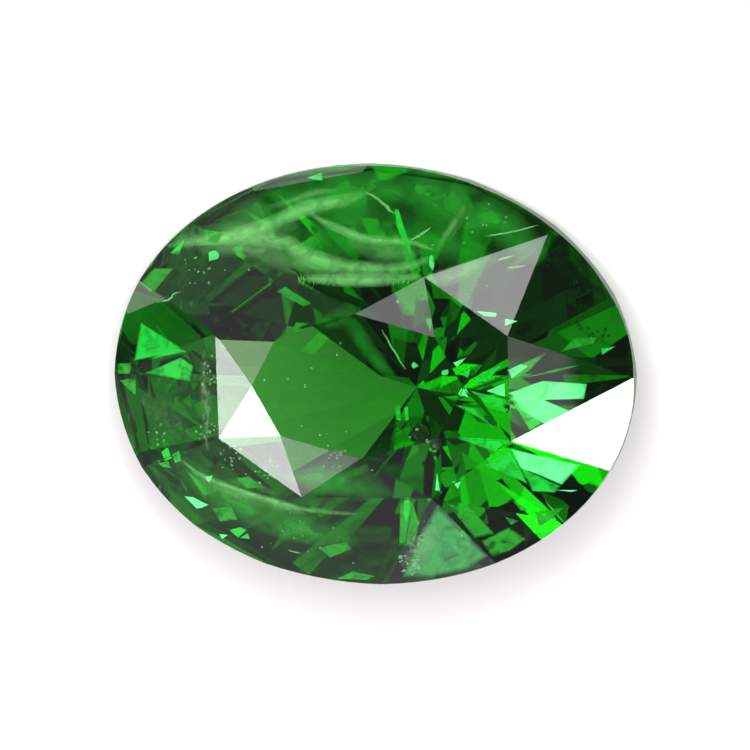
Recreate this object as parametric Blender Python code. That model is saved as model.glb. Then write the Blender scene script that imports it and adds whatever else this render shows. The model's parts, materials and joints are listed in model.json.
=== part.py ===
# Oval tsavorite garnet, cut and polished, lying on a facet of its pavilion.
# One natural stone in one piece: a flat table, a crown of triangular facets,
# a thin ground girdle, and a pavilion of narrow facets that meet at the culet.
#
# The stone is cut the way a cutter grinds it. An oval blank is turned first,
# and each flat facet is then ground off it. Each facet's plane is found from
# the points where the facets meet, so the driving sizes below are the places
# of those points. Cutting is done in millimetres, with the stone's own frame:
# the table looks along +Z, the long axis runs along X, and the middle of the
# girdle's thickness is at zero height.

import math

import bmesh
import bpy
from mathutils import Matrix, Vector

MM = 0.001

# Outline, in millimetres.
LENGTH = 7.60
WIDTH = 6.07
GIRDLE_THICKNESS = 0.22
BLANK_SIDES = 96
BLANK_REACH = 6.0

# The outline is a little fuller on one shoulder than a true oval.
FULL_SHOULDER_BEARING = math.radians(218.0)
FULL_SHOULDER_SPREAD = math.radians(34.0)
FULL_SHOULDER_RISE = 0.022

# Crown. Heights are above the middle of the girdle.
TABLE_HEIGHT = 1.13
RING_HEIGHT = 0.915
TABLE_END_REACH = 1.548
TABLE_SIDE_REACH = 1.050
TABLE_CORNER = (1.156, 0.725)
TABLE_SHIFT = (0.0, 0.02)
RING_END_POINT = (2.14, 0.761)
RING_SIDE_POINT = (0.953, 1.605)
RING_SHIFT = (0.027, -0.028)
BREAK_BEARING = math.radians(26.5)
BEZEL_TIP_GAP = 0.10
RECUT_BEZEL = 3
RECUT_DEPTH = 0.016

# Pavilion. The culet stands a little off the middle, as on most native cuts.
PAVILION_DEPTH = 2.64
CULET_SHIFT = (0.34, -0.38)
MAIN_FRACTION = 0.12

# Facets whose planes pass this close to a meeting point share it.
MEET = 0.0006

EIGHTH = math.radians(45.0)
REST_BEARING = math.radians(100.0)

STONE_GREEN = (0.012, 0.30, 0.045, 1.0)
STONE_ROUGHNESS = 0.02
STONE_IOR = 1.74


def clear_scene():
    for old in list(bpy.data.objects):
        bpy.data.objects.remove(old, do_unlink=True)


def outline_scale(bearing):
    """How far the outline stands out from a true oval at this bearing."""
    turn = math.remainder(bearing - FULL_SHOULDER_BEARING, math.tau)
    return 1.0 + FULL_SHOULDER_RISE * math.exp(-((turn / FULL_SHOULDER_SPREAD) ** 2))


def outline_point(bearing, height):
    """A point of the outline. The bearing is taken on a circle and then stretched."""
    reach = outline_scale(bearing)
    x = 0.5 * LENGTH * reach * math.cos(bearing)
    y = 0.5 * WIDTH * reach * math.sin(bearing)
    return Vector((x, y, height))


def turned_blank():
    """The oval blank before any facet is ground."""
    blank = bmesh.new()
    bmesh.ops.create_cone(
        blank,
        cap_ends=True,
        segments=BLANK_SIDES,
        radius1=1.0,
        radius2=1.0,
        depth=BLANK_REACH,
    )
    for corner in blank.verts:
        bearing = math.atan2(corner.co.y, corner.co.x)
        corner.co = outline_point(bearing, corner.co.z)
    return blank


def plane_through(first, second, third):
    """A point and the outward direction of the plane through three points."""
    outward = (second - first).cross(third - first).normalized()
    if outward.dot(first) < 0.0:
        outward.negate()
    return first.copy(), outward


def grind(stone, plane, depth=0.0):
    """Grinds one facet: what stands beyond the plane goes, and the cut is closed."""
    point, outward = plane
    cut = bmesh.ops.bisect_plane(
        stone,
        geom=stone.verts[:] + stone.edges[:] + stone.faces[:],
        dist=MEET,
        plane_co=point - outward * depth,
        plane_no=outward,
        clear_outer=True,
    )
    rim = [item for item in cut["geom_cut"] if isinstance(item, bmesh.types.BMEdge) and item.is_boundary]
    if rim:
        bmesh.ops.holes_fill(stone, edges=rim, sides=0)


def table_corners():
    """The eight corners of the table, from the right-hand end round."""
    corners = []
    for step in range(8):
        across = round(math.cos(step * EIGHTH), 6)
        along = round(math.sin(step * EIGHTH), 6)
        if step % 2:
            x = math.copysign(TABLE_CORNER[0], across)
            y = math.copysign(TABLE_CORNER[1], along)
        else:
            x = TABLE_END_REACH * across
            y = TABLE_SIDE_REACH * along
        corners.append(Vector((x + TABLE_SHIFT[0], y + TABLE_SHIFT[1], TABLE_HEIGHT)))
    return corners


def ring_points():
    """The eight points where stars, bezels and break facets meet."""
    points = []
    for step in range(8):
        middle = (step + 0.5) * EIGHTH
        near_end = abs(math.cos(middle)) > abs(math.sin(middle))
        reach = RING_END_POINT if near_end else RING_SIDE_POINT
        x = math.copysign(reach[0], math.cos(middle)) + RING_SHIFT[0]
        y = math.copysign(reach[1], math.sin(middle)) + RING_SHIFT[1]
        points.append(Vector((x, y, RING_HEIGHT)))
    return points


def break_bearing(step):
    """Where the break facets of one ring point part on the rim."""
    middle = (step + 0.5) * EIGHTH
    quarter = math.floor(middle / (2.0 * EIGHTH)) * 2.0 * EIGHTH
    return quarter + (BREAK_BEARING if step % 2 == 0 else 2.0 * EIGHTH - BREAK_BEARING)


def bezel_tip(rim_point, before, after):
    """The bezel's lower tip, short of the rim on the ridge of two break facets."""
    ridge = before[1].cross(after[1]).normalized()
    if ridge.z < 0.0:
        ridge.negate()
    inward = math.hypot(ridge.x, ridge.y)
    return rim_point + ridge * (BEZEL_TIP_GAP / inward)


def cut_crown(stone):
    """The table, and four rows of facets from the rim up to it."""
    rim_height = 0.5 * GIRDLE_THICKNESS
    table = table_corners()
    ring = ring_points()
    rim = [outline_point(step * EIGHTH, rim_height) for step in range(8)]
    breaks = []
    for step in range(8):
        middle = outline_point(break_bearing(step), rim_height)
        breaks.append(
            (
                plane_through(ring[step], rim[step], middle),
                plane_through(ring[step], middle, rim[(step + 1) % 8]),
            )
        )
    for pair in breaks:
        for plane in pair:
            grind(stone, plane)
    for step in range(8):
        tip = rim[step]
        if step % 2:
            tip = bezel_tip(rim[step], breaks[step - 1][1], breaks[step][0])
        grind(stone, plane_through(ring[step - 1], ring[step], tip))
    grind(stone, (Vector((0.0, 0.0, TABLE_HEIGHT)), Vector((0.0, 0.0, 1.0))))
    for step in range(8):
        recut = RECUT_DEPTH if step == RECUT_BEZEL else 0.0
        grind(stone, plane_through(ring[step - 1], ring[step], table[step]), recut)
        grind(stone, plane_through(table[step], table[(step + 1) % 8], ring[step]))


def main_facet_plane(step, culet):
    """A main facet runs from the culet to the rim and lies along the rim there."""
    rim_height = -0.5 * GIRDLE_THICKNESS
    small_turn = math.radians(1.0)
    before = outline_point(step * EIGHTH - small_turn, rim_height)
    after = outline_point(step * EIGHTH + small_turn, rim_height)
    return plane_through(culet, before, after)


def line_of_planes(first, second):
    """The direction, leading away from the culet, in which two main facets meet."""
    direction = first[1].cross(second[1]).normalized()
    if direction.z < 0.0:
        direction.negate()
    return direction


def cut_pavilion(stone):
    """Eight slim mains at the culet, and sixteen long facets between them and the rim."""
    rim_height = -0.5 * GIRDLE_THICKNESS
    culet = Vector((CULET_SHIFT[0], CULET_SHIFT[1], rim_height - PAVILION_DEPTH))
    mains = [main_facet_plane(step, culet) for step in range(8)]
    for plane in mains:
        grind(stone, plane)
    for step in range(8):
        edge = line_of_planes(mains[step], mains[(step + 1) % 8])
        meet = culet + edge * (MAIN_FRACTION * PAVILION_DEPTH / edge.z)
        rim_before = outline_point(step * EIGHTH, rim_height)
        rim_middle = outline_point((step + 0.5) * EIGHTH, rim_height)
        rim_after = outline_point((step + 1) * EIGHTH, rim_height)
        grind(stone, plane_through(meet, rim_before, rim_middle))
        grind(stone, plane_through(meet, rim_middle, rim_after))


def resting_facet(mesh):
    """The large pavilion facet that looks most nearly towards the resting side."""
    side = Vector((math.cos(REST_BEARING), math.sin(REST_BEARING), -1.0))
    pavilion = [face for face in mesh.polygons if face.normal.z < -0.3]
    largest = max(face.area for face in pavilion)
    wide = [face for face in pavilion if face.area > 0.5 * largest]
    return max(wide, key=lambda face: face.normal.dot(side.normalized()))


def lay_down(stone):
    """Turns the stone so that it rests on one facet, long axis along X and table to the front."""
    up = -resting_facet(stone.data).normal
    along = Vector((1.0, 0.0, 0.0))
    along = (along - up * along.dot(up)).normalized()
    across = up.cross(along)
    if across.z > 0.0:
        along.negate()
        across.negate()
    turn = Matrix((along, across, up))
    stone.rotation_mode = "QUATERNION"
    stone.rotation_quaternion = turn.to_quaternion()
    placed = [turn @ corner.co for corner in stone.data.vertices]
    low = Vector([min(point[axis] for point in placed) for axis in range(3)])
    high = Vector([max(point[axis] for point in placed) for axis in range(3)])
    stone.location = (-0.5 * (low.x + high.x), -0.5 * (low.y + high.y), -low.z)


def stone_material():
    material = bpy.data.materials.new("green_garnet")
    material.use_nodes = True
    shader = material.node_tree.nodes["Principled BSDF"]
    shader.inputs["Base Color"].default_value = STONE_GREEN
    shader.inputs["Roughness"].default_value = STONE_ROUGHNESS
    shader.inputs["Metallic"].default_value = 0.0
    shader.inputs["IOR"].default_value = STONE_IOR
    shader.inputs["Transmission Weight"].default_value = 1.0
    return material


def build_stone(collection):
    stone = turned_blank()
    cut_crown(stone)
    cut_pavilion(stone)
    bmesh.ops.remove_doubles(stone, verts=stone.verts[:], dist=MEET)
    bmesh.ops.dissolve_degenerate(stone, dist=MEET, edges=stone.edges[:])
    bmesh.ops.recalc_face_normals(stone, faces=stone.faces[:])
    bmesh.ops.scale(stone, vec=(MM, MM, MM), verts=stone.verts[:])
    mesh = bpy.data.meshes.new("faceted_stone")
    stone.to_mesh(mesh)
    stone.free()
    body = bpy.data.objects.new("faceted_stone", mesh)
    body.data.materials.append(stone_material())
    collection.objects.link(body)
    lay_down(body)
    return body


def main():
    clear_scene()
    collection = bpy.data.collections.new("tsavorite_garnet")
    bpy.context.scene.collection.children.link(collection)
    build_stone(collection)


main()
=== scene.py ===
"""Looks of one oval green garnet, lying on a facet of its pavilion on a pale floor.

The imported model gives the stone's shape and place. This script polishes it: a
clear green body, a ground girdle, lightly worn facet edges, and the healed
films, threads, grains and pinpoints that lie inside it. Everything inside the
stone is worked out in the stone's own frame, in millimetres, and is then put
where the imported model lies. A place inside the stone is given by the point of
the picture where it shows and by its depth along the refracted line of sight.
"""

import json
import logging
import math
import random
from dataclasses import dataclass, field
from enum import Enum
from typing import Any, Iterator, Sequence

import bmesh
import bpy
from mathutils import Matrix, Vector, noise
from mathutils.bvhtree import BVHTree


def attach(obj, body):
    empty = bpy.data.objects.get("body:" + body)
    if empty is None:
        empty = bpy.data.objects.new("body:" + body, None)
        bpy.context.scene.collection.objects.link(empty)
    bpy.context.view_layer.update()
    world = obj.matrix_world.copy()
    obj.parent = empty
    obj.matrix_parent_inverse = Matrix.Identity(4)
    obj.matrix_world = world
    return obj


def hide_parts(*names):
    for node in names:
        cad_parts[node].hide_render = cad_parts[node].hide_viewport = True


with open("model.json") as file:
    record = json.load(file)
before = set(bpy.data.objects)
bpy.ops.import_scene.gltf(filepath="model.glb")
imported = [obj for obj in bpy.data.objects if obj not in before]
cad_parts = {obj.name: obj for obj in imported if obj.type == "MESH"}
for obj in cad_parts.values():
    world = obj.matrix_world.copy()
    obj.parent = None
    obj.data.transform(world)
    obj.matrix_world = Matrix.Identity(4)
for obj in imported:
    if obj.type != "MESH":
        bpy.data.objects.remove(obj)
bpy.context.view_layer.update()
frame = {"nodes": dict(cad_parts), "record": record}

STONE_NODE = "faceted_stone"
BODY = "root"
MM = 0.001
# Fixes the ripple of the threads, which would otherwise differ a little from run to run.
NOISE_SEED = 1

LOG = logging.getLogger("garnet")

Spot = tuple[float, float, float]
Way = tuple[float, float, float]
Colour = tuple[float, float, float]


class GrainShape(Enum):
    """How a crystal grain inside the stone is stretched."""

    BLOCKY = (1.0, 0.85, 0.75)
    BLADED = (1.0, 0.38, 0.22)


@dataclass(frozen=True)
class GemFrame:
    """The stone's own axes, placed in the row frame.

    The origin is the middle of the girdle. Lengths in this frame are in
    millimetres.
    """

    origin: Vector
    long_axis: Vector
    short_axis: Vector
    table_axis: Vector

    @classmethod
    def of_stone(cls, corners: Sequence[Vector], table_point: Vector, table_axis: Vector,
                 table_height: float) -> "GemFrame":
        """Finds the frame from the stone's corners and its table.

        Args:
            corners: the stone's corners in the row frame, in metres.
            table_point: a point on the table, in metres.
            table_axis: the direction in which the table looks.
            table_height: from the middle of the girdle to the table, in mm.

        Returns:
            The stone's frame.
        """
        up = table_axis.normalized()
        along = -Vector((0.0, 1.0, 0.0)).cross(up).normalized()
        across = up.cross(along)
        middle = Vector((0.0, 0.0, 0.0))
        for axis in (along, across):
            reach = [corner.dot(axis) for corner in corners]
            middle += axis * 0.5 * (min(reach) + max(reach))
        middle += up * (table_point.dot(up) - table_height * MM)
        return cls(middle, along, across, up)

    def turn(self) -> Matrix:
        """The rotation from the stone's frame to the row frame."""
        return Matrix((self.long_axis, self.short_axis, self.table_axis)).transposed()

    def place(self, spot: Vector) -> Vector:
        """Puts a point of the stone's frame, in mm, in the row frame, in metres."""
        return self.origin + self.turn() @ (spot * MM)

    def measure(self, point: Vector) -> Vector:
        """Gives a point of the row frame, in metres, in the stone's frame, in mm."""
        return self.turn().transposed() @ (point - self.origin) / MM

    def direction(self, way: Sequence[float]) -> Vector:
        """Turns a direction of the stone's frame into the row frame."""
        return (self.turn() @ Vector(way)).normalized()


@dataclass(frozen=True)
class PhotoView:
    """The viewing direction, roll and framing of the picture."""

    toward_camera: Way = (0.234, 0.177, 0.956)
    roll: float = -0.034
    pixels_per_mm: float = 70.0
    girdle_middle_px: tuple[float, float] = (375.0, 374.0)
    picture_px: float = 750.0
    distance_mm: float = 300.0
    nearest_share: float = 0.1
    sensor_mm: float = 36.0

    def back(self) -> Vector:
        """From the stone towards the camera, in the stone's frame."""
        return Vector(self.toward_camera).normalized()

    def right(self) -> Vector:
        """The picture's right, in the stone's frame."""
        level = Vector((0.0, 1.0, 0.0)).cross(self.back()).normalized()
        upward = self.back().cross(level)
        return level * math.cos(self.roll) + upward * math.sin(self.roll)

    def up(self) -> Vector:
        """The picture's up, in the stone's frame."""
        return self.back().cross(self.right())

    def on_plane(self, px: float, py: float) -> Vector:
        """Finds a point of the picture on the plane through the girdle's middle.

        Args:
            px: pixels from the picture's left edge.
            py: pixels from the picture's top edge.

        Returns:
            The point in the stone's frame, in mm.
        """
        across = (px - self.girdle_middle_px[0]) / self.pixels_per_mm
        upward = (self.girdle_middle_px[1] - py) / self.pixels_per_mm
        return self.right() * across + self.up() * upward

    def eye(self) -> Vector:
        """The camera's place in the stone's frame, in mm."""
        half = 0.5 * self.picture_px
        return self.on_plane(half, half) + self.back() * self.distance_mm

    def make_camera(self, gem: GemFrame) -> bpy.types.Object:
        """Makes the scene's camera.

        Args:
            gem: the stone's frame.

        Returns:
            The camera object.
        """
        lens = bpy.data.cameras.new("camera")
        lens.sensor_width = self.sensor_mm
        lens.lens = self.sensor_mm * self.distance_mm * self.pixels_per_mm / self.picture_px
        lens.clip_start = self.nearest_share * self.distance_mm * MM
        camera = bpy.data.objects.new("camera", lens)
        bpy.context.scene.collection.objects.link(camera)
        axes = [gem.direction(way) for way in (self.right(), self.up(), self.back())]
        turn = Matrix(axes).transposed().to_4x4()
        camera.matrix_world = Matrix.Translation(gem.place(self.eye())) @ turn
        bpy.context.scene.camera = camera
        return camera


class NodeBench:
    """Lays out the shader nodes of one material."""

    def __init__(self, name: str) -> None:
        """Starts a material with a Principled shader.

        Args:
            name: the material's name.
        """
        self.material = bpy.data.materials.new(name)
        self.material.use_nodes = True
        self.tree = self.material.node_tree
        self.shader = self.tree.nodes["Principled BSDF"]
        self.output = self.tree.nodes["Material Output"]

    def add(self, kind: str, **sockets: Any) -> bpy.types.Node:
        """Adds a node and sets its input sockets.

        Args:
            kind: the node's type.
            **sockets: values by socket name, with _ for a space.

        Returns:
            The new node.
        """
        node = self.tree.nodes.new(kind)
        for name, value in sockets.items():
            node.inputs[name.replace("_", " ")].default_value = value
        return node

    def join(self, source: bpy.types.NodeSocket, target: bpy.types.NodeSocket) -> None:
        """Joins an output socket to an input socket."""
        self.tree.links.new(source, target)

    def set(self, **sockets: Any) -> None:
        """Sets sockets of the Principled shader, with _ for a space."""
        for name, value in sockets.items():
            self.shader.inputs[name.replace("_", " ")].default_value = value

    def own_place(self) -> bpy.types.NodeSocket:
        """The shaded point in the row frame."""
        return self.add("ShaderNodeTexCoord").outputs["Object"]

    def face_mark(self, name: str) -> bpy.types.NodeSocket:
        """A number kept on the mesh under this name."""
        node = self.tree.nodes.new("ShaderNodeAttribute")
        node.attribute_name = name
        return node.outputs["Fac"]

    def mottle(self, per_mm: float, detail: float = 3.0,
               distortion: float = 0.0) -> bpy.types.NodeSocket:
        """Adds a cloudy noise.

        Args:
            per_mm: how many clouds there are in a millimetre.
            detail: how much fine detail the clouds have.
            distortion: how far the clouds are drawn out of shape.

        Returns:
            The noise's value, about 0 to 1.
        """
        cloud = self.add("ShaderNodeTexNoise", Scale=per_mm / MM, Detail=detail, Distortion=distortion)
        self.join(self.own_place(), cloud.inputs["Vector"])
        return cloud.outputs["Fac"]

    def spread(self, source: bpy.types.NodeSocket, start: float, end: float,
               low: float, high: float) -> bpy.types.NodeSocket:
        """Maps a stretch of a value's range to another range, and holds it there beyond.

        Args:
            source: the value.
            start: where the stretch starts.
            end: where the stretch ends.
            low: what the start becomes.
            high: what the end becomes.

        Returns:
            The mapped value.
        """
        node = self.tree.nodes.new("ShaderNodeMapRange")
        for index, value in enumerate((start, end, low, high)):
            node.inputs[index + 1].default_value = value
        self.join(source, node.inputs[0])
        return node.outputs[0]

    def times(self, first: bpy.types.NodeSocket, second: bpy.types.NodeSocket) -> bpy.types.NodeSocket:
        """Multiplies two values.

        Args:
            first: one value.
            second: the other value.

        Returns:
            Their product.
        """
        node = self.tree.nodes.new("ShaderNodeMath")
        node.operation = "MULTIPLY"
        self.join(first, node.inputs[0])
        self.join(second, node.inputs[1])
        return node.outputs[0]

    def relief(self, height: bpy.types.NodeSocket, strength: float, depth_mm: float) -> None:
        """Puts a fine relief on the surface.

        Args:
            height: the relief's height, 0 to 1.
            strength: how much of it shows.
            depth_mm: the height's full depth.
        """
        bump = self.add("ShaderNodeBump", Strength=strength, Distance=depth_mm * MM)
        self.join(height, bump.inputs["Height"])
        self.join(bump.outputs["Normal"], self.shader.inputs["Normal"])


@dataclass(frozen=True)
class GarnetFinish:
    """Clear green garnet with a good polish and a ground girdle."""

    ior: float = 1.74
    absorption_per_mm: Colour = (0.96, 0.27, 1.05)
    ground_roughness: float = 0.42
    polish_relief: float = 0.05
    polish_depth_mm: float = 0.002
    polish_waves_per_mm: float = 2.2
    polish_detail: float = 2.0

    def material(self) -> bpy.types.Material:
        """Makes the stone's material.

        Returns:
            The material, with its colour in the depth of the stone.
        """
        bench = NodeBench("polished_green_garnet")
        bench.set(Base_Color=(1.0, 1.0, 1.0, 1.0), IOR=self.ior, Transmission_Weight=1.0)
        ground = bench.face_mark(CutStone.GROUND_MARK)
        bench.join(bench.spread(ground, 0.0, 1.0, 0.0, self.ground_roughness),
                   bench.shader.inputs["Roughness"])
        waves = bench.mottle(self.polish_waves_per_mm, detail=self.polish_detail)
        bench.relief(waves, self.polish_relief, self.polish_depth_mm)
        strongest = max(self.absorption_per_mm)
        left = [1.0 - each / strongest for each in self.absorption_per_mm]
        body = bench.add("ShaderNodeVolumeAbsorption", Color=(*left, 1.0), Density=strongest / MM)
        bench.join(body.outputs["Volume"], bench.output.inputs["Volume"])
        return bench.material


@dataclass(frozen=True)
class FilmFinish:
    """A healed film: a sheet of minute droplets, seen as a pale haze.

    It is clouded: where its noise is under thin_at it has only the share
    thinnest of its cover, and from dense_at on it has all of it. Its emission
    is a painted glow that stands for light that reaches it inside the stone.
    """

    name: str
    colour: Colour
    cover: float
    clouds_per_mm: float
    painted_glow: float
    thinnest: float = 0.45
    roughness: float = 0.45
    ior: float = 1.45
    detail: float = 5.0
    distortion: float = 0.6
    thin_at: float = 0.36
    dense_at: float = 0.62

    def material(self) -> bpy.types.Material:
        """Makes the film's material.

        Returns:
            The material, which thins out towards the film's borders.
        """
        bench = NodeBench(self.name)
        # The emission is a painted glow for the light that reaches the film inside the stone.
        bench.set(Base_Color=(*self.colour, 1.0), Roughness=self.roughness, IOR=self.ior,
                  Emission_Color=(*self.colour, 1.0), Emission_Strength=self.painted_glow)
        noise_value = bench.mottle(self.clouds_per_mm, self.detail, self.distortion)
        clouds = bench.spread(noise_value, self.thin_at, self.dense_at, self.thinnest, 1.0)
        cover = bench.spread(bench.face_mark(Film.COVER_MARK), 0.0, 1.0, 0.0, self.cover)
        bench.join(bench.times(clouds, cover), bench.shader.inputs["Alpha"])
        return bench.material


@dataclass(frozen=True)
class GrainFinish:
    """A crystal grain, thread or droplet enclosed in the garnet, with a painted glow by emission for the
    light that reaches it inside the stone.
    """

    name: str
    colour: Colour
    roughness: float
    ior: float
    painted_glow: float
    darkest: float = 0.50
    patches_per_mm: float = 5.0
    distortion: float = 0.8
    dark_at: float = 0.30
    light_at: float = 0.55

    def material(self) -> bpy.types.Material:
        """Makes the grain's material.

        Returns:
            The material, whose colour is patchy.
        """
        bench = NodeBench(self.name)
        # The emission, in the patchy colour, is a painted glow for light that reaches the grain inside the
        # stone.
        bench.set(Roughness=self.roughness, IOR=self.ior, Emission_Strength=self.painted_glow)
        tint = bench.add("ShaderNodeMix")
        tint.data_type = "RGBA"
        darker = [self.darkest * each for each in self.colour]
        colours = [socket for socket in tint.inputs if socket.type == "RGBA"]
        colours[0].default_value = (*darker, 1.0)
        colours[1].default_value = (*self.colour, 1.0)
        patches = bench.mottle(self.patches_per_mm, distortion=self.distortion)
        bench.join(bench.spread(patches, self.dark_at, self.light_at, 0.0, 1.0), tint.inputs["Factor"])
        result = [socket for socket in tint.outputs if socket.type == "RGBA"][0]
        bench.join(result, bench.shader.inputs["Base Color"])
        bench.join(result, bench.shader.inputs["Emission Color"])
        return bench.material


@dataclass(frozen=True)
class FlashFinish:
    """A flat crack with a painted flash: its emission paints the green light it shows, and it fades at its
    borders.
    """

    name: str
    colour: Colour
    painted_flash_glow: float
    thinnest: float = 0.45
    roughness: float = 0.3
    ior: float = 1.6
    shine: float = 0.1
    patches_per_mm: float = 4.0
    distortion: float = 0.8
    thin_at: float = 0.34
    dense_at: float = 0.56

    def material(self) -> bpy.types.Material:
        """Makes the crack's material.

        Returns:
            The material, which is patchy and fades at the crack's borders.
        """
        bench = NodeBench(self.name)
        # The emission is a painted flash: green light painted on the crack, not a reflection of the lamps.
        bench.set(Base_Color=(*self.colour, 1.0), Roughness=self.roughness, IOR=self.ior,
                  Specular_IOR_Level=self.shine, Emission_Color=(*self.colour, 1.0),
                  Emission_Strength=self.painted_flash_glow)
        noise_value = bench.mottle(self.patches_per_mm, distortion=self.distortion)
        patches = bench.spread(noise_value, self.thin_at, self.dense_at, self.thinnest, 1.0)
        bench.join(bench.times(patches, bench.face_mark(Flake.COVER_MARK)), bench.shader.inputs["Alpha"])
        return bench.material


@dataclass(frozen=True)
class FloorFinish:
    """A matt white light board, which glows a little so that shadows on it stay faint."""

    colour: Colour = (0.42, 0.407, 0.411)
    glow_colour: Colour = (1.0, 0.975, 0.98)
    glow: float = 0.41
    roughness: float = 0.85
    shine: float = 0.1

    def material(self) -> bpy.types.Material:
        """Makes the floor's material.

        Returns:
            The material.
        """
        bench = NodeBench("matt_light_board")
        bench.set(Base_Color=(*self.colour, 1.0), Roughness=self.roughness,
                  Specular_IOR_Level=self.shine, Emission_Color=(*self.glow_colour, 1.0),
                  Emission_Strength=self.glow)
        return bench.material


# Films: name, colour, cover, clouds in a millimetre, strength of the painted glow, thinnest cover.
HAZE = FilmFinish("pale_healed_film", (0.32, 0.75, 0.30), 0.62, 3.0, 0.34)
BRIGHT_HAZE = FilmFinish("bright_healed_film", (0.40, 0.92, 0.38), 0.85, 4.0, 0.44, 0.5)
GREY_HAZE = FilmFinish("grey_healed_film", (0.40, 0.48, 0.40), 0.42, 9.0, 0.12, 0.1)
GREEN_HAZE = FilmFinish("green_mist", (0.05, 0.60, 0.06), 0.78, 2.0, 0.42, 0.3)
LEAF_HAZE = FilmFinish("leaf_green_film", (0.10, 0.80, 0.10), 0.55, 3.0, 0.30)
MOTTLED_HAZE = FilmFinish("mottled_healed_film", (0.55, 0.78, 0.50), 0.66, 12.0, 0.18, 0.0)

# Flat cracks: name, colour, strength of the painted flash glow, thinnest cover.
MINT_FLASH = FlashFinish("mint_flashing_crack", (0.19, 1.00, 0.42), 0.95, 0.65)
FLASH_GREEN = FlashFinish("green_flashing_crack", (0.02, 0.86, 0.09), 0.46)
LEAF_GREEN = FlashFinish("leaf_green_crack", (0.035, 0.55, 0.04), 0.30)
SEA_GREEN = FlashFinish("sea_green_crack", (0.06, 0.44, 0.12), 0.45, 0.6)

# Threads and grains: name, colour, roughness, refractive index, strength of the painted glow.
PALE_THREAD = GrainFinish("pale_thread", (0.45, 1.00, 0.45), 0.35, 1.55, 0.30)
GREEN_GRAIN = GrainFinish("bright_green_grain", (0.15, 1.00, 0.35), 0.30, 1.60, 0.60)
WHITE_GRAIN = GrainFinish("white_grain", (0.80, 0.98, 0.80), 0.40, 1.50, 0.10)
DROPLET = GrainFinish("pale_droplet", (0.42, 0.80, 0.48), 0.35, 1.50, 0.18)
DARK_GRAIN = GrainFinish("dark_grain", (0.030, 0.022, 0.028), 0.35, 1.90, 0.0)

# Where the pinpoints show, in pixels from the picture's left and top, and their size in mm.
PINPOINTS = (
    (225, 270, 0.03), (190, 283, 0.04), (209, 283, 0.05), (249, 270, 0.04), (265, 380, 0.05),
    (288, 379, 0.05), (305, 386, 0.06), (312, 368, 0.03), (302, 426, 0.04), (340, 343, 0.05),
    (337, 355, 0.04), (212, 356, 0.05), (208, 366, 0.04), (327, 434, 0.03), (346, 432, 0.04),
    (320, 435, 0.04), (341, 452, 0.08), (324, 466, 0.05), (329, 458, 0.03), (269, 475, 0.06),
    (232, 462, 0.04), (246, 474, 0.04), (208, 478, 0.06), (300, 521, 0.05), (282, 531, 0.04),
    (333, 528, 0.04), (320, 548, 0.05), (262, 547, 0.04), (353, 563, 0.04), (230, 516, 0.04),
    (417, 429, 0.06), (427, 440, 0.05), (410, 437, 0.04), (467, 218, 0.05), (433, 245, 0.05),
    (506, 217, 0.05), (487, 286, 0.03), (404, 310, 0.04), (398, 302, 0.05), (372, 470, 0.04),
)


class CutStone:
    """The cut stone: clean flat facets, worn edges and a ground girdle."""

    GROUND_MARK = "ground"
    WELD_MM = 0.0005
    STEEPEST_GROUND = 0.1

    def __init__(self, node: bpy.types.Object, gem: GemFrame, finish: GarnetFinish,
                 edge_wear_mm: float = 0.010, flat_within_deg: float = 0.2) -> None:
        """Keeps the stone's sizes.

        Args:
            node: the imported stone.
            gem: the stone's frame.
            finish: the stone's finish.
            edge_wear_mm: width of the worn line along a facet's edge.
            flat_within_deg: triangles this nearly level with each other are one facet.
        """
        self.node = node
        self.gem = gem
        self.finish = finish
        self.edge_wear_mm = edge_wear_mm
        self.flat_within_deg = flat_within_deg

    def facets(self) -> bmesh.types.BMesh:
        """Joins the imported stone's triangles into whole facets.

        Returns:
            The stone in its own frame, in mm.
        """
        stone = bmesh.new()
        stone.from_mesh(self.node.data)
        for corner in stone.verts:
            corner.co = self.gem.measure(corner.co)
        bmesh.ops.remove_doubles(stone, verts=stone.verts[:], dist=self.WELD_MM)
        bmesh.ops.dissolve_limit(
            stone, angle_limit=math.radians(self.flat_within_deg),
            verts=stone.verts[:], edges=stone.edges[:], use_dissolve_boundaries=False)
        bmesh.ops.recalc_face_normals(stone, faces=stone.faces[:])
        return stone

    @classmethod
    def is_ground(cls, face: bmesh.types.BMFace) -> bool:
        """Whether a face belongs to the girdle, which is ground and not polished."""
        return abs(face.normal.z) < cls.STEEPEST_GROUND

    def build(self) -> bpy.types.Object:
        """Builds the stone as it shows.

        Returns:
            The piece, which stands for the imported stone.
        """
        stone = self.facets()
        edges = [edge for edge in stone.edges
                 if not all(self.is_ground(face) for face in edge.link_faces)]
        bmesh.ops.bevel(stone, geom=edges, offset=self.edge_wear_mm, segments=1,
                        affect="EDGES", clamp_overlap=True)
        mark = stone.faces.layers.float.new(self.GROUND_MARK)
        for face in stone.faces:
            face[mark] = 1.0 if self.is_ground(face) else 0.0
        piece = finish_piece("cut_stone", stone, self.gem, self.finish.material())
        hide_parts(STONE_NODE)
        return piece


def finish_piece(name: str, shape: bmesh.types.BMesh, gem: GemFrame,
                 material: bpy.types.Material) -> bpy.types.Object:
    """Turns a shape of the stone's frame into a piece that rides with the stone.

    Args:
        name: the piece's name.
        shape: the shape in mm; it is freed.
        gem: the stone's frame.
        material: the piece's material.

    Returns:
        The new piece.
    """
    for corner in shape.verts:
        corner.co = gem.place(corner.co)
    mesh = bpy.data.meshes.new(name)
    shape.to_mesh(mesh)
    shape.free()
    mesh.materials.append(material)
    piece = bpy.data.objects.new(name, mesh)
    bpy.context.scene.collection.objects.link(piece)
    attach(piece, BODY)
    LOG.info("piece %s: %d faces", name, len(mesh.polygons))
    return piece


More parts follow.
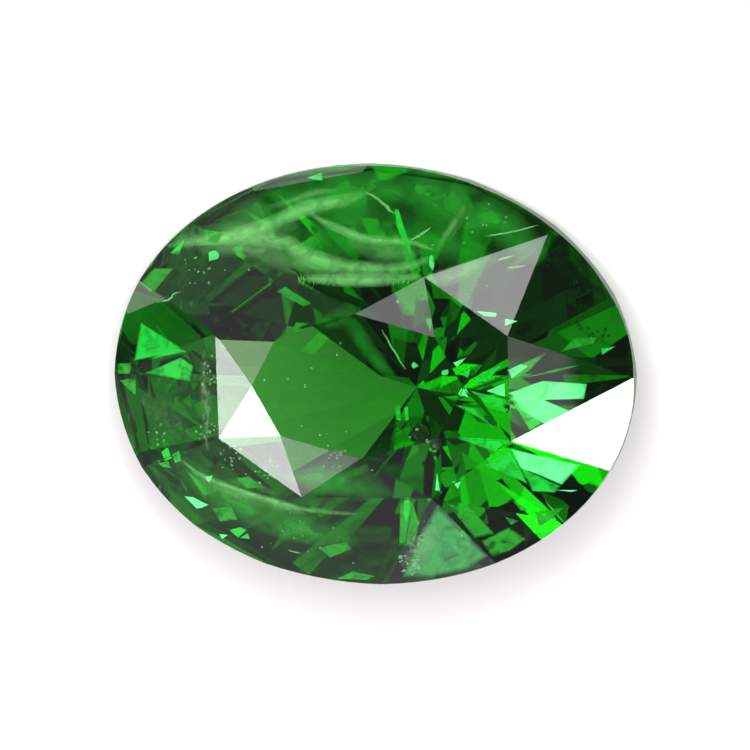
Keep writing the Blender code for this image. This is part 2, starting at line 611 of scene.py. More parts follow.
class StoneInside:
    """Finds places inside the stone by where they show in the picture."""

    STEP_IN_MM = 0.01
    DEEPEST_SHARE = 0.85

    def __init__(self, shape: bmesh.types.BMesh, view: PhotoView, ior: float) -> None:
        """Reads the stone's surface.

        Args:
            shape: the stone in its own frame, in mm.
            view: the picture's view.
            ior: the stone's refractive index.
        """
        self.surface = BVHTree.FromBMesh(shape)
        self.facets = [(face.normal.copy(), face.normal.dot(face.calc_center_median()))
                       for face in shape.faces]
        self.view = view
        self.ior = ior

    def bent_line(self, px: float, py: float) -> tuple[Vector, Vector]:
        """Follows the line of sight of a picture point into the stone.

        Args:
            px: pixels from the picture's left edge.
            py: pixels from the picture's top edge.

        Returns:
            Where it enters, in mm, and its direction inside the stone.
        """
        eye = self.view.eye()
        ray = (self.view.on_plane(px, py) - eye).normalized()
        entry, normal, _, _ = self.surface.ray_cast(eye, ray)
        if entry is None:
            raise ValueError(f"the picture point ({px}, {py}) is off the stone")
        facing = -ray.dot(normal)
        bent = math.sqrt(1.0 - (1.0 - facing * facing) / self.ior ** 2)
        inward = ray / self.ior + normal * (facing / self.ior - bent)
        return entry, inward.normalized()

    def spot(self, px: float, py: float, depth: float) -> Vector:
        """Finds a place inside the stone.

        Args:
            px: pixels from the picture's left edge.
            py: pixels from the picture's top edge.
            depth: how deep it lies along the bent line of sight, in mm.

        Returns:
            The place in the stone's frame, in mm, kept inside the stone.
        """
        entry, inward = self.bent_line(px, py)
        start = entry + inward * self.STEP_IN_MM
        _, _, _, far = self.surface.ray_cast(start, inward)
        return entry + inward * min(depth, self.DEEPEST_SHARE * (far or depth))

    def keep_in(self, shape: bmesh.types.BMesh, margin: float = 0.02) -> None:
        """Pulls what pokes out of the stone back under its facets.

        Args:
            shape: the shape in the stone's frame, in mm.
            margin: how far under a facet a corner stays, in mm.
        """
        for corner in shape.verts:
            share = 1.0
            for normal, reach in self.facets:
                out = normal.dot(corner.co)
                if out > reach - margin:
                    share = min(share, (reach - margin) / out)
            if share < 1.0:
                corner.co *= share


def smooth_line(spots: Sequence[Vector], per_span: int) -> list[Vector]:
    """Draws a smooth line through spots.

    Args:
        spots: the places that the line passes, at least two.
        per_span: how many steps there are between two of them.

    Returns:
        The points along the line.
    """
    ends = [spots[0] * 2.0 - spots[1], *spots, spots[-1] * 2.0 - spots[-2]]
    line = []
    for index in range(len(spots) - 1):
        a, b, c, d = ends[index:index + 4]
        for step in range(per_span):
            t = step / per_span
            line.append(0.5 * (2.0 * b + (c - a) * t + (2.0 * a - 5.0 * b + 4.0 * c - d) * t * t
                               + (3.0 * b - a - 3.0 * c + d) * t ** 3))
    line.append(spots[-1].copy())
    return line


def walk(line: Sequence[Vector]) -> Iterator[tuple[float, Vector, Vector]]:
    """Walks along a line, point by point.

    Args:
        line: the points along the line.

    Yields:
        How far along it is, from 0 to 1, the point there, and the direction ahead.
    """
    last = len(line) - 1
    for index, point in enumerate(line):
        after = line[min(index + 1, last)]
        before = line[max(index - 1, 0)]
        yield index / last, point, (after - before).normalized()


@dataclass(frozen=True)
class Film:
    """A healed film, a thin curved sheet that follows a line through the stone."""

    COVER_MARK = "cover"

    name: str
    spine: Sequence[Spot]
    half_width_mm: float
    finish: FilmFinish
    seed: int
    ripple_mm: float = 0.03
    waves_along: float = 6.0
    waves_across: float = 0.8
    seed_step: float = 0.3
    end_bluntness: float = 0.4
    narrowest: float = 0.05
    border_fade: float = 1.5
    per_span: int = 14
    columns: int = 12

    def build(self, inside: StoneInside, gem: GemFrame) -> bpy.types.Object:
        """Builds the film.

        Args:
            inside: finds places inside the stone.
            gem: the stone's frame.

        Returns:
            The film's piece.
        """
        line = smooth_line([inside.spot(*each) for each in self.spine], self.per_span)
        away = -inside.view.back()
        sheet = bmesh.new()
        mark = sheet.verts.layers.float.new(self.COVER_MARK)
        rows = []
        for along, point, ahead in walk(line):
            beside = ahead.cross(away).normalized()
            swell = math.sin(math.pi * along) ** self.end_bluntness if 0.0 < along < 1.0 else 0.0
            width = self.half_width_mm * max(swell, self.narrowest)
            row = []
            for column in range(self.columns + 1):
                side = 2.0 * column / self.columns - 1.0
                drift = Vector((along * self.waves_along + self.seed, side * self.waves_across,
                                self.seed_step * self.seed))
                ripple = self.ripple_mm * noise.noise(drift)
                corner = sheet.verts.new(point + beside * side * width + away * ripple)
                corner[mark] = (1.0 - abs(side) ** self.border_fade) * swell
                row.append(corner)
            rows.append(row)
        for low, high in zip(rows, rows[1:]):
            for column in range(self.columns):
                sheet.faces.new((low[column], low[column + 1], high[column + 1], high[column]))
        inside.keep_in(sheet)
        piece = finish_piece(self.name, sheet, gem, self.finish.material())
        piece.data.shade_smooth()
        return piece


@dataclass(frozen=True)
class Thread:
    """A fine thread or bright rim of a film: a thin rod that tapers at its ends."""

    spine: Sequence[Spot]
    radius_mm: float
    seed: int
    ripple_mm: float = 0.015
    waves_along: float = 9.0
    wave_seed_step: float = 1.7
    end_share: float = 0.25
    tip: float = 0.04
    lumpiness: float = 0.35
    lumps_along: float = 14.0
    lump_seed_step: float = 3.1
    per_span: int = 10
    sides: int = 5

    def draw(self, shape: bmesh.types.BMesh, inside: StoneInside) -> None:
        """Adds the thread to a shape.

        Args:
            shape: the shape that takes it, in the stone's frame.
            inside: finds places inside the stone.
        """
        line = smooth_line([inside.spot(*each) for each in self.spine], self.per_span)
        rings = []
        for along, point, ahead in walk(line):
            side = ahead.orthogonal().normalized()
            other = ahead.cross(side)
            wave = Vector((along * self.waves_along, self.seed * self.wave_seed_step, 0.0))
            drift = noise.noise_vector(wave) * self.ripple_mm
            swell = math.sin(math.pi * min(max(along, self.tip), 1.0 - self.tip))
            thick = self.radius_mm * (self.end_share + (1.0 - self.end_share) * swell)
            lump = Vector((along * self.lumps_along, self.seed * self.lump_seed_step, 1.0))
            thick *= 1.0 + self.lumpiness * noise.noise(lump)
            ring = []
            for step in range(self.sides):
                angle = math.tau * step / self.sides
                offset = side * math.cos(angle) + other * math.sin(angle)
                ring.append(shape.verts.new(point + drift + offset * thick))
            rings.append(ring)
        for low, high in zip(rings, rings[1:]):
            for step in range(self.sides):
                following = (step + 1) % self.sides
                shape.faces.new((low[step], low[following], high[following], high[step]))
        shape.faces.new(list(reversed(rings[0])))
        shape.faces.new(rings[-1])


@dataclass(frozen=True)
class Grain:
    """A small angular crystal inside the stone."""

    spot: Spot
    size_mm: float
    shape: GrainShape = GrainShape.BLOCKY
    heading_deg: float = 0.0
    seed: int = 1
    corners: int = 14

    def draw(self, shape: bmesh.types.BMesh, inside: StoneInside) -> None:
        """Adds the grain to a shape.

        Args:
            shape: the shape that takes it, in the stone's frame.
            inside: finds places inside the stone.
        """
        dice = random.Random(self.seed)
        heading = math.radians(self.heading_deg)
        view = inside.view
        long_way = view.right() * math.cos(heading) + view.up() * math.sin(heading)
        wide_way = view.back().cross(long_way)
        stretch = self.shape.value
        middle = inside.spot(*self.spot)
        cloud = []
        for _ in range(self.corners):
            way = Vector((dice.gauss(0.0, 1.0), dice.gauss(0.0, 1.0), dice.gauss(0.0, 1.0))).normalized()
            way = Vector([each * part for each, part in zip(way, stretch)]) * 0.5 * self.size_mm
            cloud.append(shape.verts.new(
                middle + long_way * way.x + wide_way * way.y + view.back() * way.z))
        hull = bmesh.ops.convex_hull(shape, input=cloud)
        loose = [each for each in hull["geom_interior"] if isinstance(each, bmesh.types.BMVert)]
        bmesh.ops.delete(shape, geom=loose, context="VERTS")


@dataclass(frozen=True)
class Flake:
    """A flat crack inside the stone, shown with a painted flash by its finish: a sheet with straight sides.
    """

    COVER_MARK = "cover"

    corners: Sequence[Spot]
    border: float = 0.16
    border_cover: float = 0.25

    def draw(self, shape: bmesh.types.BMesh, inside: StoneInside) -> None:
        """Adds the flake to a shape.

        Args:
            shape: the shape that takes it, in the stone's frame.
            inside: finds places inside the stone.
        """
        layers = shape.verts.layers.float
        mark = layers.get(self.COVER_MARK) or layers.new(self.COVER_MARK)
        spots = [inside.spot(*each) for each in self.corners]
        middle = sum(spots, Vector((0.0, 0.0, 0.0))) / len(spots)
        rim = [shape.verts.new(each) for each in spots]
        ring = [shape.verts.new(each.lerp(middle, self.border)) for each in spots]
        for outer, inner in zip(rim, ring):
            outer[mark] = self.border_cover
            inner[mark] = 1.0
        for index in range(len(rim)):
            following = (index + 1) % len(rim)
            shape.faces.new((rim[index], rim[following], ring[following], ring[index]))
        shape.faces.new(ring)


@dataclass(frozen=True)
class Growth:
    """Threads, grains or flakes of one finish, joined into one piece."""

    name: str
    finish: GrainFinish | FlashFinish
    parts: Sequence[Any]

    def build(self, inside: StoneInside, gem: GemFrame) -> bpy.types.Object:
        """Builds the piece.

        Args:
            inside: finds places inside the stone.
            gem: the stone's frame.

        Returns:
            The joined piece.
        """
        shape = bmesh.new()
        for part in self.parts:
            part.draw(shape, inside)
        inside.keep_in(shape)
        return finish_piece(self.name, shape, gem, self.finish.material())


@dataclass(frozen=True)
class SoftLamp:
    """A round soft lamp of the studio's surround, bright in its core and fading to its edge."""

    name: str
    way: Way
    core_deg: float
    edge_deg: float
    brightness: float
    tint: Colour = (1.0, 1.0, 1.0)


@dataclass(frozen=True)
class Studio:
    """The pale floor, the dim room and the soft lamps in it."""

    lamps: Sequence[SoftLamp]
    floor: FloorFinish = field(default_factory=FloorFinish)
    floor_size: float = 0.019
    floor_shift: float = 0.0045
    floor_gap: float = 0.00001
    fill_way: Way = (-0.145, -0.728, 0.674)
    fill_distance: float = 0.05
    fill_size: float = 0.008
    fill_watts: float = 0.053
    floor_light: Colour = (0.84, 0.81, 0.82)
    room: Colour = (0.08, 0.05, 0.085)
    backdrop: Colour = (1.0, 1.0, 1.0)

    def build(self, gem: GemFrame) -> None:
        """Builds the studio round the stone.

        Args:
            gem: the stone's frame, in which the lamps' directions are given.
        """
        self._lay_floor()
        self._light_room(gem)
        self._hang_fill_lamp()
        self._set_light_paths()

    def _lay_floor(self) -> None:
        """Lays the floor just under the stone."""
        board = bmesh.new()
        bmesh.ops.create_grid(board, x_segments=1, y_segments=1, size=0.5 * self.floor_size)
        mesh = bpy.data.meshes.new("floor")
        board.to_mesh(mesh)
        board.free()
        mesh.materials.append(self.floor.material())
        floor = bpy.data.objects.new("floor", mesh)
        floor.location = (0.0, self.floor_shift, -self.floor_gap)
        bpy.context.scene.collection.objects.link(floor)

    def _light_room(self, gem: GemFrame) -> None:
        """Makes the room: dim, with the lamps in it.

        The floor gets an even light from it, and a pale backdrop shows behind
        the stone.

        Args:
            gem: the stone's frame.
        """
        world = bpy.data.worlds.new("studio_room")
        world.use_nodes = True
        tree = world.node_tree
        way_out = tree.nodes.new("ShaderNodeTexCoord").outputs["Generated"]
        total = None
        for lamp in self.lamps:
            glow = self._lamp_glow(tree, way_out, gem.direction(lamp.way), lamp)
            add = tree.nodes.new("ShaderNodeVectorMath")
            add.operation = "ADD"
            tree.links.new(glow, add.inputs[0])
            if total is None:
                add.inputs[1].default_value = self.room
            else:
                tree.links.new(total, add.inputs[1])
            total = add.outputs["Vector"]
            LOG.info("lamp %s", lamp.name)
        lit = tree.nodes["Background"]
        tree.links.new(total, lit.inputs["Color"])
        path = tree.nodes.new("ShaderNodeLightPath")
        shown = lit.outputs[0]
        for kind, colour in (("Is Diffuse Ray", self.floor_light), ("Is Camera Ray", self.backdrop)):
            plain = tree.nodes.new("ShaderNodeBackground")
            plain.inputs["Color"].default_value = (*colour, 1.0)
            choose = tree.nodes.new("ShaderNodeMixShader")
            tree.links.new(path.outputs[kind], choose.inputs[0])
            tree.links.new(shown, choose.inputs[1])
            tree.links.new(plain.outputs[0], choose.inputs[2])
            shown = choose.outputs[0]
        tree.links.new(shown, tree.nodes["World Output"].inputs["Surface"])
        world.cycles.sampling_method = "NONE"
        bpy.context.scene.world = world

    def _hang_fill_lamp(self) -> None:
        """Hangs a square lamp that lights only the floor, for the soft shadow beside the stone."""
        light = bpy.data.lights.new("fill_lamp", "AREA")
        light.shape = "SQUARE"
        light.size = self.fill_size
        light.energy = self.fill_watts
        toward = Vector(self.fill_way).normalized()
        lamp = bpy.data.objects.new("fill_lamp", light)
        lamp.location = toward * self.fill_distance
        lamp.rotation_euler = toward.to_track_quat("Z", "Y").to_euler()
        lamp.visible_camera = False
        lamp.visible_glossy = False
        lamp.visible_transmission = False
        bpy.context.scene.collection.objects.link(lamp)

    @staticmethod
    def _lamp_glow(tree: bpy.types.NodeTree, way_out: bpy.types.NodeSocket, toward: Vector,
                   lamp: SoftLamp) -> bpy.types.NodeSocket:
        """Adds the nodes of one lamp.

        Args:
            tree: the room's node tree.
            way_out: the direction of each ray that leaves.
            toward: the lamp's direction in the row frame.
            lamp: the lamp.

        Returns:
            The lamp's light as a colour.
        """
        near = tree.nodes.new("ShaderNodeVectorMath")
        near.operation = "DOT_PRODUCT"
        tree.links.new(way_out, near.inputs[0])
        near.inputs[1].default_value = toward
        fade = tree.nodes.new("ShaderNodeMapRange")
        fade.interpolation_type = "SMOOTHSTEP"
        fade.inputs["From Min"].default_value = math.cos(math.radians(lamp.edge_deg))
        fade.inputs["From Max"].default_value = math.cos(math.radians(lamp.core_deg))
        tree.links.new(near.outputs["Value"], fade.inputs["Value"])
        glow = tree.nodes.new("ShaderNodeVectorMath")
        glow.operation = "SCALE"
        glow.inputs[0].default_value = [lamp.brightness * each for each in lamp.tint]
        tree.links.new(fade.outputs["Result"], glow.inputs["Scale"])
        return glow.outputs["Vector"]

    @staticmethod
    def _set_light_paths() -> None:
        """Lets light take the long ways through the stone."""
        scene = bpy.context.scene
        scene.view_settings.view_transform = "Standard"
        scene.cycles.max_bounces = 32
        scene.cycles.transmission_bounces = 32
        scene.cycles.glossy_bounces = 24
        scene.cycles.transparent_max_bounces = 32
        scene.cycles.diffuse_bounces = 5
        scene.cycles.caustics_refractive = True
        scene.cycles.caustics_reflective = True
        scene.cycles.sample_clamp_indirect = 20.0


def studio_lamps() -> list[SoftLamp]:
    """Places the soft lamps where the bright facets mirror them to the camera.

    Returns:
        The lamps.
    """
    return [
        SoftLamp("right_lamp", (0.65, -0.43, 0.62), 6.0, 13.0, 17.0),
        SoftLamp("left_lamp", (-0.64, -0.36, 0.68), 15.0, 24.0, 7.5),
        SoftLamp("left_lamp_core", (-0.59, -0.37, 0.72), 3.0, 8.0, 8.0),
        SoftLamp("left_star_lamp", (-0.67, 0.02, 0.75), 5.0, 10.0, 1.7, (1.0, 0.93, 0.80)),
        SoftLamp("overhead_lamp", (0.36, 0.52, 0.77), 6.5, 9.0, 3.8),
        SoftLamp("star_lamp", (-0.13, 0.34, 0.93), 6.0, 12.0, 1.9),
        SoftLamp("glow_by_camera", (-0.08, 0.15, 0.985), 7.0, 12.0, 1.6),
        SoftLamp("flash_lamp", (-0.44, 0.04, 0.90), 3.0, 8.0, 4.8),
        SoftLamp("glow_right_of_camera", (0.57, 0.17, 0.80), 5.0, 11.0, 1.6),
        SoftLamp("left_wall_glow", (-0.72, 0.32, 0.62), 14.0, 30.0, 0.32, (1.0, 0.75, 0.95)),
        SoftLamp("far_wall_glow", (-0.50, -0.80, 0.33), 20.0, 50.0, 0.34, (1.0, 0.94, 1.0)),
        SoftLamp("right_wall_glow", (0.62, -0.16, 0.77), 8.0, 13.0, 0.95, (1.0, 1.0, 0.95)),
        SoftLamp("back_lamp", (-0.02, -0.98, 0.20), 5.0, 10.0, 0.25, (0.85, 0.97, 1.0)),
    ]


def mount_of(record: dict, name: str) -> dict:
    """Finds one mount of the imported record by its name."""
    return next(each for each in record["mounts"] if each["name"] == name)


def build_garnet(view: PhotoView, table_height_mm: float = 1.13) -> GemFrame:
    """Builds the stone and what lies inside it.

    Args:
        view: the picture's view.
        table_height_mm: from the middle of the girdle to the table.

    Returns:
        The stone's frame.
    """
    node = frame["nodes"][STONE_NODE]
    table = mount_of(frame["record"], "table")
    corners = [corner.co.copy() for corner in node.data.vertices]
    gem = GemFrame.of_stone(corners, Vector(table["pos_m"]), Vector(table["axis"]), table_height_mm)
    finish = GarnetFinish()
    stone = CutStone(node, gem, finish)
    plain = stone.facets()
    inside = StoneInside(plain, view, finish.ior)
    plain.free()
    stone.build()
    for part in inclusions():
        part.build(inside, gem)
    return gem


def top_films() -> list[Film]:
    """Describes the curved healed films under the crown's upper third, as the picture shows them.

    Returns:
        The films.
    """
    return [
        Film("film_upper_haze", ((215, 232, 0.45), (290, 205, 0.5), (380, 192, 0.5), (470, 208, 0.45),
                                 (548, 262, 0.35)), 0.50, GREEN_HAZE, seed=3),
        Film("film_upper_mist", ((262, 262, 0.6), (330, 236, 0.65), (410, 238, 0.6), (500, 262, 0.5)),
             0.40, GREEN_HAZE, seed=8),
        Film("film_rising_band", ((186, 244, 0.30), (228, 236, 0.32), (267, 226, 0.34), (294, 213, 0.35),
                                  (316, 206, 0.36), (341, 200, 0.38), (366, 193, 0.40)), 0.15,
             BRIGHT_HAZE, seed=5),
        Film("film_left_fill", ((176, 240, 0.40), (214, 238, 0.42), (256, 234, 0.42), (300, 224, 0.42)),
             0.25, HAZE, seed=16),
        Film("film_rising_band_2", ((262, 209, 0.30), (294, 200, 0.32), (316, 192, 0.34), (340, 190, 0.36)),
             0.075, HAZE, seed=6),
        Film("film_bow", ((308, 212, 0.36), (326, 223, 0.38), (344, 231, 0.40), (361, 238, 0.42),
                          (384, 241, 0.42), (411, 242, 0.40), (434, 250, 0.36)), 0.085, BRIGHT_HAZE, seed=7),
        Film("film_bow_wash", ((348, 240, 0.44), (384, 251, 0.45), (420, 253, 0.44)), 0.20, HAZE, seed=9),
        Film("film_lower_bow", ((166, 246, 0.28), (206, 240, 0.30), (246, 238, 0.32), (284, 242, 0.34),
                                (300, 252, 0.36), (322, 261, 0.38), (348, 267, 0.38), (378, 269, 0.38),
                                (406, 267, 0.36), (438, 257, 0.34)), 0.145, BRIGHT_HAZE, seed=11),
        Film("film_left_lobe", ((200, 252, 0.36), (250, 248, 0.38), (296, 262, 0.38), (340, 272, 0.38)),
             0.17, HAZE, seed=12),
        Film("film_striped_band", ((296, 279, 0.30), (340, 280, 0.32), (382, 280, 0.32), (426, 276, 0.30)),
             0.11, BRIGHT_HAZE, seed=13),
        Film("film_feather_right", ((466, 204, 0.35), (458, 218, 0.36), (447, 234, 0.36), (436, 252, 0.36)),
             0.08, HAZE, seed=14),
        Film("film_pale_corner", ((424, 280, 0.25), (452, 276, 0.3), (482, 262, 0.3)), 0.15, HAZE, seed=15),
    ]


def lower_films() -> list[Film]:
    """Describes the wavy healed films and mists under the crown's lower and left parts.

    Returns:
        The films.
    """
    return [
        Film("film_lower_wave", ((176, 456, 0.30), (198, 473, 0.32), (222, 484, 0.34), (246, 493, 0.35),
                                 (274, 501, 0.36), (304, 509, 0.36), (332, 512, 0.35), (358, 514, 0.32)),
             0.075, BRIGHT_HAZE, seed=21),
        Film("film_lower_wave_body", ((190, 470, 0.36), (214, 486, 0.38), (244, 497, 0.40), (278, 506, 0.40),
                                      (308, 514, 0.38)), 0.12, HAZE, seed=20),
        Film("film_lower_mist", ((170, 452, 0.5), (225, 496, 0.55), (290, 526, 0.5), (360, 542, 0.4)),
             0.36, GREEN_HAZE, seed=22),
        Film("film_lower_swell", ((228, 480, 0.36), (252, 485, 0.38), (276, 494, 0.36)), 0.10, LEAF_HAZE,
             seed=23),
        Film("film_middle_mist", ((290, 478, 0.55), (340, 480, 0.6), (392, 492, 0.55)), 0.30, GREEN_HAZE,
             seed=24),
        Film("film_left_mist", ((140, 396, 0.4), (170, 420, 0.45), (196, 448, 0.45)), 0.30, GREY_HAZE,
             seed=25),
        Film("film_left_streaks", ((204, 348, 0.22), (205, 384, 0.24), (206, 418, 0.24), (207, 452, 0.22)),
             0.11, MOTTLED_HAZE, seed=26),
        Film("film_rough_patch", ((402, 573, 0.1), (414, 558, 0.11), (424, 540, 0.12), (434, 524, 0.12)),
             0.20, MOTTLED_HAZE, seed=29),
        Film("film_window_wave", ((322, 320, 0.9), (346, 322, 0.95), (362, 340, 1.0), (376, 360, 1.0),
                                  (396, 378, 0.95)), 0.14, LEAF_HAZE, seed=27),
    ]


def flashes() -> list[Growth]:
    """Describes the small flat cracks with a painted green flash, and the bright threads with a painted
    glow.

    Returns:
        The pieces, one for each finish or tone.
    """
    return [
        Growth("mint_flakes", MINT_FLASH, (
            Flake(((508, 393, 0.3), (542, 381, 0.3), (586, 384, 0.3), (583, 399, 0.3), (541, 400, 0.3),
                   (520, 402, 0.3)), 0.10, 0.5),
            Flake(((512, 397, 0.32), (541, 399, 0.32), (569, 411, 0.32), (544, 424, 0.32), (524, 411, 0.32)),
                  0.10, 0.5),
            *level_flakes(
                (0.3, (486, 391), (505, 383), (505, 397)),
                (0.4, (453, 363), (467, 357), (457, 367)),
                (0.4, (460, 396), (464, 389), (469, 398)),
                (0.2, (511, 449), (580, 465), (562, 485), (520, 468)),
                (0.3, (507, 370), (521, 364), (528, 366), (512, 379)),
                (0.4, (435, 491), (437, 472), (440, 491)),
                (0.2, (184, 496), (193, 497), (209, 505), (197, 509)),
                (0.12, (219, 534), (228, 535), (222, 539)),
                (0.2, (205, 477), (213, 475), (209, 483)),
                (0.2, (476, 311), (497, 313), (496, 317), (484, 316)),
                (0.2, (505, 319), (518, 321), (505, 326)),
                (0.15, (555, 490), (578, 490), (572, 492)),
                (0.4, (454, 484), (461, 481), (458, 489)),
            ),
        )),
        Growth("flash_flakes", FLASH_GREEN, (
            *level_flakes(
                (0.3, (142, 323), (187, 352), (134, 361)),
                (0.3, (145, 373), (181, 357), (194, 366), (190, 382)),
            ),
            Flake(((394, 209, 0.34), (398, 208, 0.34), (407, 236, 0.36), (412, 257, 0.38), (405, 246, 0.38),
                   (397, 224, 0.36))),
            *level_flakes(
                (0.3, (161, 452), (168, 447), (171, 456), (164, 459)),
                (0.3, (172, 455), (179, 450), (181, 461), (175, 463)),
                (0.3, (157, 461), (168, 461), (172, 468), (163, 467)),
                (0.2, (229, 530), (240, 527), (247, 530), (238, 538)),
                (0.2, (240, 538), (248, 533), (250, 539)),
                (0.2, (306, 178), (322, 172), (323, 181)),
                (0.2, (170, 253), (184, 240), (179, 255)),
                (0.5, (395, 406), (400, 405), (401, 421), (396, 420)),
                (0.5, (404, 407), (408, 406), (409, 420), (405, 421)),
                (0.36, (508, 396), (524, 404), (542, 424), (530, 431)),
                (0.4, (469, 390), (505, 399), (505, 412), (491, 405)),
                (0.4, (459, 374), (471, 368), (468, 378)),
                (0.4, (455, 405), (477, 409), (495, 430), (479, 418)),
                (0.4, (473, 382), (482, 372), (503, 364), (487, 382)),
                (0.3, (457, 437), (504, 440), (509, 443), (497, 453), (478, 446)),
                (0.24, (484, 465), (510, 451), (520, 468), (528, 484)),
                (0.24, (522, 469), (561, 486), (555, 493), (532, 491)),
                (0.3, (404, 498), (409, 497), (411, 508), (406, 524), (403, 512)),
                (0.15, (601, 349), (616, 346), (602, 355)),
            ),
        )),
        Growth("sea_green_flake", SEA_GREEN, (
            Flake(((438, 504, 0.16), (464, 532, 0.16), (488, 556, 0.12), (468, 569, 0.10), (432, 577, 0.10),
                   (402, 577, 0.10), (420, 534, 0.14))),
        )),
        Growth("green_flakes", LEAF_GREEN, (
            *level_flakes(
                (0.3, (140, 284), (154, 268), (174, 268), (153, 295)),
                (0.5, (276, 291), (285, 286), (312, 304), (304, 307)),
                (0.4, (292, 334), (296, 322), (310, 327)),
                (0.42, (296, 246), (322, 229), (319, 243), (312, 251)),
                (0.48, (360, 217), (378, 218), (389, 239), (369, 238)),
                (0.3, (197, 228), (224, 232), (218, 243), (202, 241)),
                (0.2, (119, 380), (136, 378), (136, 396)),
                (0.2, (118, 363), (132, 363), (130, 374), (118, 374)),
                (0.34, (521, 364), (547, 352), (529, 371), (513, 380)),
                (0.34, (516, 380), (560, 368), (584, 364), (556, 372)),
                (0.3, (560, 352), (574, 338), (597, 337), (595, 343)),
                (0.34, (400, 503), (409, 497), (413, 502), (406, 546), (399, 546)),
                (0.32, (406, 546), (413, 502), (420, 521), (414, 546)),
                (0.3, (446, 503), (470, 507), (495, 534), (475, 538)),
                (0.2, (481, 541), (509, 527), (526, 539), (510, 551), (492, 557)),
                (0.2, (534, 511), (564, 507), (552, 520), (538, 527)),
                (0.2, (511, 499), (528, 510), (521, 511)),
                (0.2, (505, 517), (519, 521), (511, 525)),
                (0.3, (236, 478), (249, 476), (267, 489), (246, 488)),
                (0.12, (336, 579), (352, 571), (376, 576), (368, 580)),
                (0.3, (318, 548), (346, 541), (352, 549), (330, 558)),
                (0.3, (212, 508), (232, 506), (238, 520), (220, 522)),
                (0.3, (186, 470), (204, 484), (220, 492), (204, 496)),
            ),
        )),
        Growth("bright_threads", PALE_THREAD, (
            Thread(((366, 192, 0.34), (380, 201, 0.34), (394, 214, 0.34)), 0.020, seed=1),
            Thread(((382, 330, 0.8), (393, 349, 0.8), (405, 369, 0.8)), 0.016, seed=2),
            Thread(((163, 302, 0.12), (170, 299, 0.12), (174, 294, 0.12), (180, 292, 0.12)), 0.011, seed=3),
            Thread(((411, 240, 0.3), (420, 235, 0.3), (431, 227, 0.3)), 0.020, seed=4),
            Thread(((485, 236, 0.3), (512, 232, 0.3), (538, 225, 0.3)), 0.012, seed=5),
            Thread(((498, 260, 0.2), (505, 258, 0.2), (513, 256, 0.2)), 0.018, seed=6),
            Thread(((508, 268, 0.2), (516, 267, 0.2), (525, 266, 0.2)), 0.012, seed=7),
            Thread(((288, 550, 0.2), (294, 552, 0.2), (301, 553, 0.2)), 0.012, seed=8),
            *band_stripes(),
        )),
    ]


def level_flakes(*rows: Sequence[Any]) -> list[Flake]:
    """Makes flakes that each lie at one depth.

    Args:
        *rows: for each flake its depth in mm, then where its corners show in the picture.

    Returns:
        The flakes.
    """
    return [Flake([(px, py, depth) for px, py in corners]) for depth, *corners in rows]


def band_stripes(left_px: float = 298, top_px: float = 275, spacing_px: float = 5, count: int = 23,
                 depth: float = 0.36, radius_mm: float = 0.0035) -> list[Thread]:
    """Draws the fine upright stripes along the lower side of the striped band.

    Args:
        left_px: pixels of the first stripe from the picture's left edge.
        top_px: pixels of the stripes' tops from the picture's top edge.
        spacing_px: from one stripe to the next.
        count: how many stripes there are.
        depth: how deep they lie along the line of sight, in mm.
        radius_mm: a stripe's radius.

    Returns:
        The stripes.
    """
    shortest_px = 9
    uneven_px = 4
    bow_px = 1
    bow_down_px = 5
    first_seed = 20
    stripes = []
    for step in range(count):
        across = left_px + spacing_px * step
        bottom = top_px + shortest_px + (spacing_px * step) % uneven_px
        spine = ((across, top_px, depth), (across + bow_px, top_px + bow_down_px, depth),
                 (across, bottom, depth))
        stripes.append(Thread(spine, radius_mm, seed=first_seed + step))
    return stripes


def droplet_cloud(px: float, py: float, reach_px: float, count: int, seed: int,
                  depth: float = 0.2, largest_mm: float = 0.06) -> list[Grain]:
    """Strews a loose cloud of droplets.

    Args:
        px: pixels of the cloud's middle from the picture's left edge.
        py: pixels of the cloud's middle from the picture's top edge.
        reach_px: how far the cloud reaches.
        count: how many droplets there are.
        seed: fixes where they lie.
        depth: how deep they lie along the line of sight, in mm.
        largest_mm: the size of the largest droplet.

    Returns:
        The droplets.
    """
    gathering = 0.7
    smallest_share = 0.35
    seeds_apart = 100
    dice = random.Random(seed)
    cloud = []
    for index in range(count):
        angle = dice.uniform(0.0, math.tau)
        reach = reach_px * dice.random() ** gathering
        spot = (px + reach * math.cos(angle), py + reach * math.sin(angle), depth)
        size = largest_mm * dice.uniform(smallest_share, 1.0)
        cloud.append(Grain(spot, size, GrainShape.BLOCKY, dice.uniform(0.0, 180.0),
                           seeds_apart * seed + index))
    return cloud


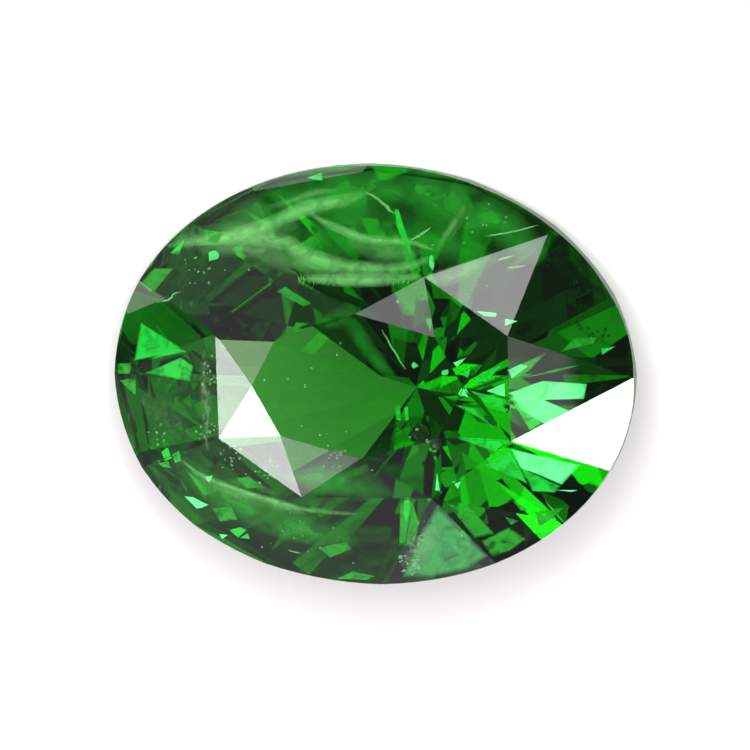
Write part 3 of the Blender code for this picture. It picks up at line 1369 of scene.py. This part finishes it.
def grains() -> list[Growth]:
    """Describes the enclosed crystals, droplets and pinpoints.

    Returns:
        The pieces, one for each finish.
    """
    return [
        Growth("droplet_clouds", DROPLET, (
            *droplet_cloud(156, 432, 13, 10, 1), *droplet_cloud(207, 432, 11, 14, 2),
            *droplet_cloud(232, 460, 14, 14, 3), *droplet_cloud(264, 472, 16, 12, 4),
            *droplet_cloud(336, 454, 14, 12, 5), *droplet_cloud(208, 378, 9, 12, 6),
            *droplet_cloud(298, 530, 34, 12, 7, 0.2, 0.045), *droplet_cloud(410, 562, 13, 16, 8, 0.08, 0.09),
            *droplet_cloud(198, 268, 18, 9, 9), *droplet_cloud(480, 225, 26, 9, 10, 0.2, 0.045),
            *droplet_cloud(438, 536, 24, 10, 11, 0.1, 0.05),
        )),
        Growth("green_crystals", GREEN_GRAIN, (
            Grain((432, 263, 0.25), 0.25, GrainShape.BLADED, 100.0, 31),
            Grain((213, 256, 0.3), 0.20, GrainShape.BLOCKY, 20.0, 32),
            Grain((415, 365, 0.5), 0.12, GrainShape.BLOCKY, 10.0, 33),
            Grain((445, 372, 0.5), 0.12, GrainShape.BLOCKY, 60.0, 34),
            Grain((223, 440, 0.12), 0.07, GrainShape.BLOCKY, 0.0, 35),
        )),
        Growth("dark_crystals", DARK_GRAIN, (
            Grain((419, 433, 0.6), 0.34, GrainShape.BLOCKY, 30.0, 41),
            Grain((434, 444, 0.6), 0.22, GrainShape.BLOCKY, 70.0, 42),
            Grain((404, 426, 0.6), 0.18, GrainShape.BLADED, 50.0, 43),
        )),
        Growth("white_pinpoints", WHITE_GRAIN, pinpoints()),
    ]


def pinpoints(depth: float = 0.25, turn_deg: float = 37.0, first_seed: int = 60) -> list[Grain]:
    """Makes the white pinpoints, each turned a little further than the one before.

    Args:
        depth: how deep they lie along the line of sight, in mm.
        turn_deg: how much further each is turned.
        first_seed: the first one's seed.

    Returns:
        The pinpoints.
    """
    return [Grain((px, py, depth), size, GrainShape.BLOCKY, turn_deg * index, first_seed + index)
            for index, (px, py, size) in enumerate(PINPOINTS)]


def inclusions() -> list[Film | Growth]:
    """What lies inside the stone, piece by piece."""
    return [*top_films(), *lower_films(), *flashes(), *grains()]


def main() -> None:
    """Builds the stone, the camera and the studio."""
    logging.basicConfig(level=logging.INFO, format="%(name)s: %(message)s")
    noise.seed_set(NOISE_SEED)
    view = PhotoView()
    gem = build_garnet(view)
    view.make_camera(gem)
    Studio(studio_lamps()).build(gem)


if __name__ == "__main__":
    main()
